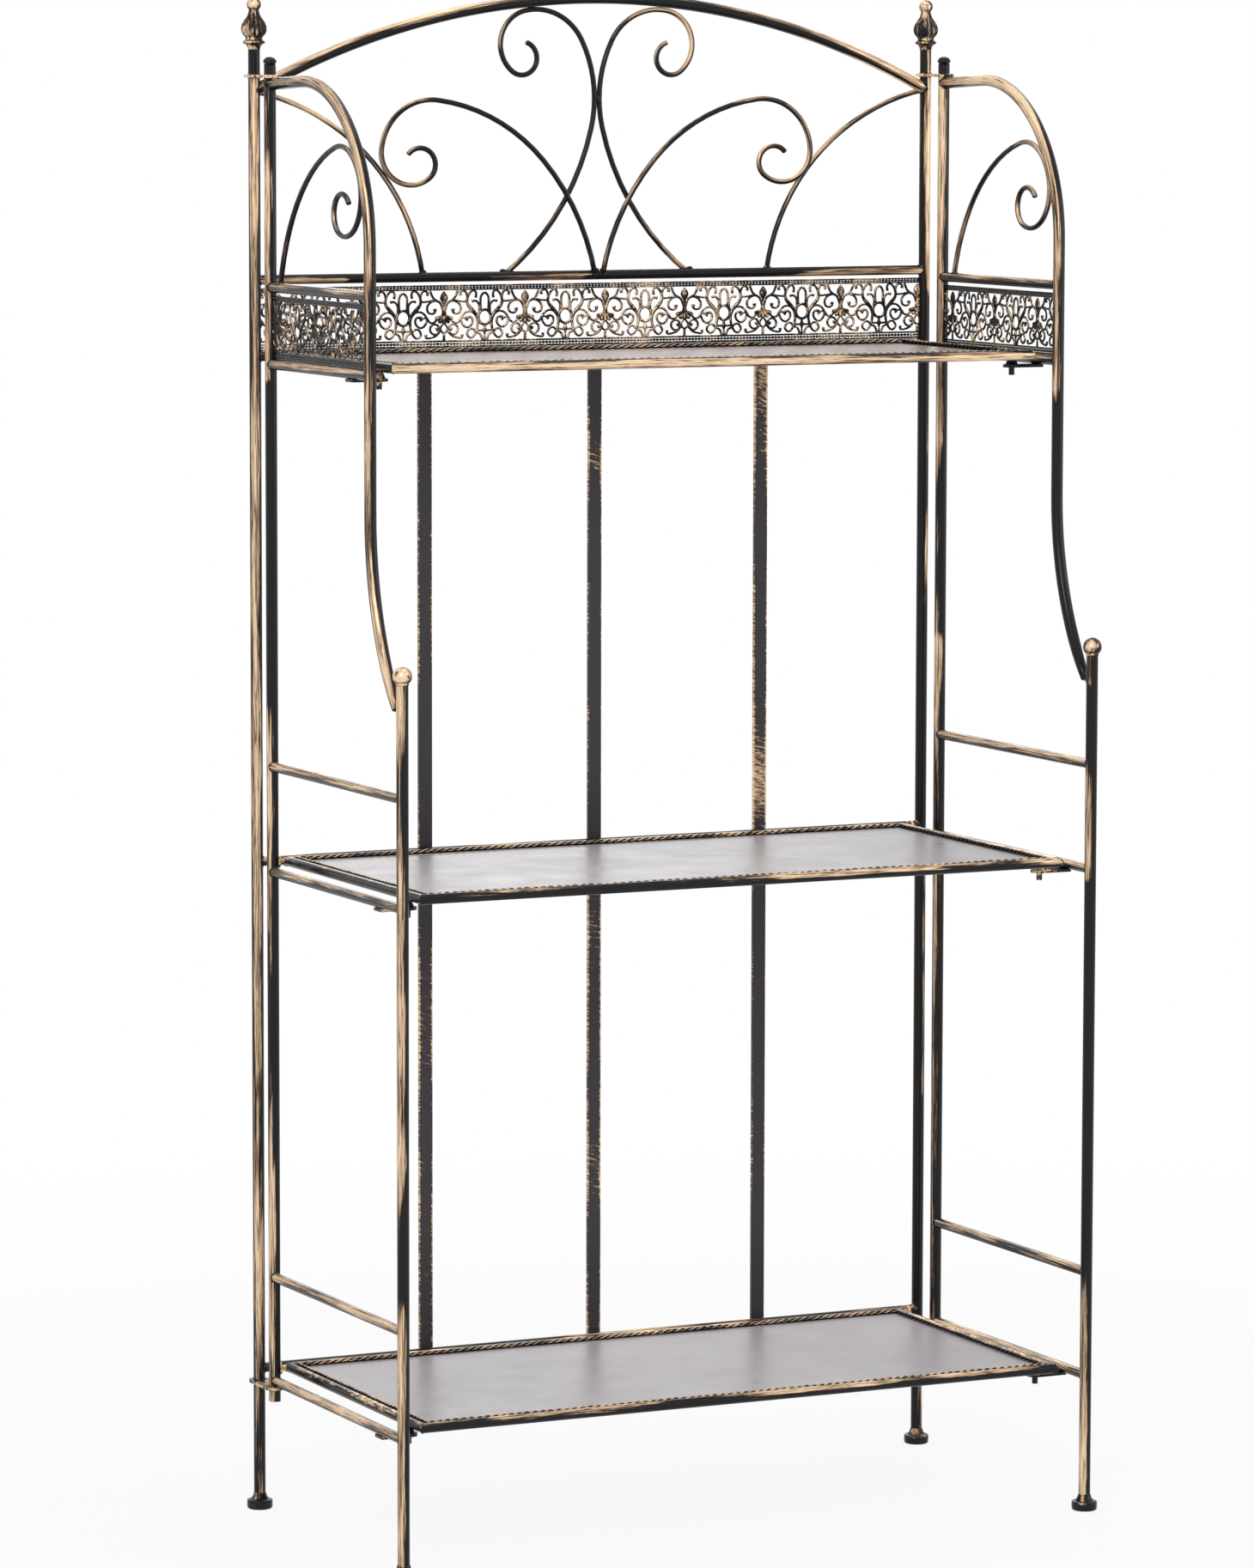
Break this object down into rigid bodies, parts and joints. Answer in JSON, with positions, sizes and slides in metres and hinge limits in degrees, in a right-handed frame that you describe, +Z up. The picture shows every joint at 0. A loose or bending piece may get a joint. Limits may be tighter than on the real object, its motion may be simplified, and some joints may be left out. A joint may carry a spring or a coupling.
{
  "type": "bakers rack",
  "caption": "Folding wrought-style bakers rack: scrolled arched back, swan-neck side frames and hinged sheet-metal shelves that lock on drop pins.",
  "frame": {"origin": "on the floor, half way between the posts across the width and the depth", "axes": "+X to the right, +Y towards the back, +Z up"},
  "size_m": [0.7884, 0.3924, 1.5459],
  "materials": {
    "frame_tube": "satin black paint, lightly brushed with dull gold",
    "turned_fittings": "satin black paint brushed with dull gold",
    "scrollwork": "satin black paint brushed with dull gold",
    "filigree": "black paint heavily rubbed with dull gold on the raised parts",
    "shelf_sheet": "satin grey-brown paint",
    "rope_trim": "black paint rubbed with dull gold",
    "hinge_hardware": "satin black paint"
  },
  "bodies": {
    "back_frame": {"back_feet": "turned_fittings", "back_filigree": "filigree", "back_finials": "turned_fittings", "back_post_left": "frame_tube", "back_post_right": "frame_tube", "back_rail_bottom": "frame_tube", "back_rail_middle": "frame_tube", "back_rail_top": "frame_tube", "back_slat_centre": "frame_tube", "back_slat_left": "frame_tube", "back_slat_right": "frame_tube", "back_upper_rail": "frame_tube", "hinge_plates_bottom": "hinge_hardware", "hinge_plates_top": "hinge_hardware", "scrolls_centre": "scrollwork", "scrolls_corner": "scrollwork", "scrolls_large": "scrollwork", "shelf_pivot_lugs": "hinge_hardware", "top_arch": "frame_tube"},
    "side_left": {"left_end_fittings": "turned_fittings", "left_filigree": "filigree", "left_front_post": "frame_tube", "left_guard_rails": "frame_tube", "left_pin_tabs": "hinge_hardware", "left_rail_bottom": "frame_tube", "left_rail_middle": "frame_tube", "left_rail_top": "frame_tube", "left_scroll": "scrollwork", "left_swan_neck": "frame_tube", "left_upper_rail": "frame_tube", "left_upright": "frame_tube"},
    "side_right": {"right_end_fittings": "turned_fittings", "right_filigree": "filigree", "right_front_post": "frame_tube", "right_guard_rails": "frame_tube", "right_pin_tabs": "hinge_hardware", "right_rail_bottom": "frame_tube", "right_rail_middle": "frame_tube", "right_rail_top": "frame_tube", "right_scroll": "scrollwork", "right_swan_neck": "frame_tube", "right_upper_rail": "frame_tube", "right_upright": "frame_tube"},
    "shelf_top": {"shelf_top_drop_pins": "hinge_hardware", "shelf_top_frame": "frame_tube", "shelf_top_pivot_pins": "hinge_hardware", "shelf_top_rope": "rope_trim", "shelf_top_sheet": "shelf_sheet"},
    "shelf_middle": {"shelf_middle_drop_pins": "hinge_hardware", "shelf_middle_frame": "frame_tube", "shelf_middle_pivot_pins": "hinge_hardware", "shelf_middle_rope": "rope_trim", "shelf_middle_sheet": "shelf_sheet"},
    "shelf_bottom": {"shelf_bottom_drop_pins": "hinge_hardware", "shelf_bottom_frame": "frame_tube", "shelf_bottom_pivot_pins": "hinge_hardware", "shelf_bottom_rope": "rope_trim", "shelf_bottom_sheet": "shelf_sheet"}
  },
  "joints": [
    {"name": "shelf_top_hinge", "type": "hinge", "parent": "back_frame", "child": "shelf_top", "pos_m": [0, 0.172, 1.18], "axis": [-1, 0, 0], "range_deg": [0, 90]},
    {"name": "shelf_middle_hinge", "type": "hinge", "parent": "back_frame", "child": "shelf_middle", "pos_m": [0, 0.172, 0.668], "axis": [-1, 0, 0], "range_deg": [0, 90]},
    {"name": "shelf_bottom_hinge", "type": "hinge", "parent": "back_frame", "child": "shelf_bottom", "pos_m": [0, 0.172, 0.146], "axis": [-1, 0, 0], "range_deg": [0, 90]},
    {"name": "side_left_hinge", "type": "hinge", "parent": "back_frame", "child": "side_left", "pos_m": [-0.381, 0.142, 0], "axis": [0, 0, -1], "range_deg": [0, 110]},
    {"name": "side_right_hinge", "type": "hinge", "parent": "back_frame", "child": "side_right", "pos_m": [0.381, 0.142, 0], "axis": [0, 0, 1], "range_deg": [0, 110]}
  ]
}
